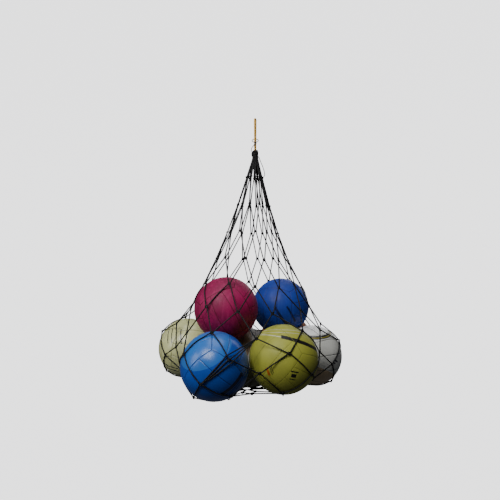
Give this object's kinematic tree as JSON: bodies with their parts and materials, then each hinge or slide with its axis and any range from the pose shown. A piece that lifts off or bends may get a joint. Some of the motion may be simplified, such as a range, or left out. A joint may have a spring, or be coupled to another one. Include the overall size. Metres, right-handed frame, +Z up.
{
  "type": "mesh ball bag",
  "caption": "Knotted net bag drawn shut round a load of sports balls and hung by its doubled drawcord.",
  "frame": {"origin": "centre of the drawcord's top bight, where the hook's bar goes", "axes": "+Z up along the hanging cord, +X to the right as seen from the front, +Y to the back"},
  "size_m": [0.6478, 0.6591, 0.9473],
  "materials": {
    "cord": "satin",
    "tie": "matte",
    "twine": "satin",
    "bladder": "matte",
    "valve": "matte",
    "front_left_cover": "gloss",
    "front_right_cover": "matte",
    "left_cover": "gloss",
    "right_cover": "satin",
    "centre_cover": "satin",
    "upper_left_cover": "matte",
    "upper_right_cover": "matte",
    "back_left_cover": "matte",
    "back_right_cover": "matte"
  },
  "bodies": {
    "cord": {"drawcord": "cord", "tie_loop": "tie"},
    "net": {"neck_gather": "twine", "side_netting": "twine", "base_netting": "twine", "mesh_knots": "twine", "base_ring": "twine"},
    "front_left_ball": {"front_left_ball_cover": "front_left_cover", "front_left_ball_bladder": "bladder", "front_left_ball_valve": "valve"},
    "front_right_ball": {"front_right_ball_cover": "front_right_cover", "front_right_ball_bladder": "bladder", "front_right_ball_valve": "valve"},
    "left_ball": {"left_ball_cover": "left_cover", "left_ball_bladder": "bladder", "left_ball_valve": "valve"},
    "right_ball": {"right_ball_cover": "right_cover", "right_ball_bladder": "bladder", "right_ball_valve": "valve"},
    "centre_ball": {"centre_ball_cover": "centre_cover", "centre_ball_bladder": "bladder", "centre_ball_valve": "valve"},
    "upper_left_ball": {"upper_left_ball_cover": "upper_left_cover", "upper_left_ball_valve": "valve"},
    "upper_right_ball": {"upper_right_ball_cover": "upper_right_cover", "upper_right_ball_valve": "valve"},
    "back_left_ball": {"back_left_ball_cover": "back_left_cover", "back_left_ball_valve": "valve"},
    "back_right_ball": {"back_right_ball_cover": "back_right_cover", "back_right_ball_valve": "valve"}
  },
  "joints": [
    {"name": "bag_swing", "type": "hinge", "parent": "cord", "child": "net", "pos_m": [0, 0, -0.115], "axis": [0, 1, 0], "range_deg": [-15, 15]},
    {"name": "front_left_ball_turn", "type": "hinge", "parent": "net", "child": "front_left_ball", "pos_m": [-0.125, -0.236, -0.803], "axis": [0, 0, 1], "continuous": true},
    {"name": "front_right_ball_turn", "type": "hinge", "parent": "net", "child": "front_right_ball", "pos_m": [0.086, -0.187, -0.793], "axis": [0, 0, 1], "continuous": true},
    {"name": "left_ball_turn", "type": "hinge", "parent": "net", "child": "left_ball", "pos_m": [-0.242, 0.052, -0.805], "axis": [0, 0, 1], "continuous": true},
    {"name": "right_ball_turn", "type": "hinge", "parent": "net", "child": "right_ball", "pos_m": [0.19795, -0.00966, -0.81844], "axis": [0, 0, 1], "continuous": true},
    {"name": "centre_ball_turn", "type": "hinge", "parent": "net", "child": "centre_ball", "pos_m": [-0.027, 0.006, -0.83], "axis": [0, 0, 1], "continuous": true},
    {"name": "upper_left_ball_turn", "type": "hinge", "parent": "net", "child": "upper_left_ball", "pos_m": [-0.097, -0.098, -0.647], "axis": [0, 0, 1], "continuous": true},
    {"name": "upper_right_ball_turn", "type": "hinge", "parent": "net", "child": "upper_right_ball", "pos_m": [0.09286, 0.06278, -0.65756], "axis": [0, 0, 1], "continuous": true},
    {"name": "back_left_ball_turn", "type": "hinge", "parent": "net", "child": "back_left_ball", "pos_m": [-0.1, 0.207, -0.807], "axis": [0, 0, 1], "continuous": true},
    {"name": "back_right_ball_turn", "type": "hinge", "parent": "net", "child": "back_right_ball", "pos_m": [0.12219, 0.19789, -0.81], "axis": [0, 0, 1], "continuous": true}
  ]
}
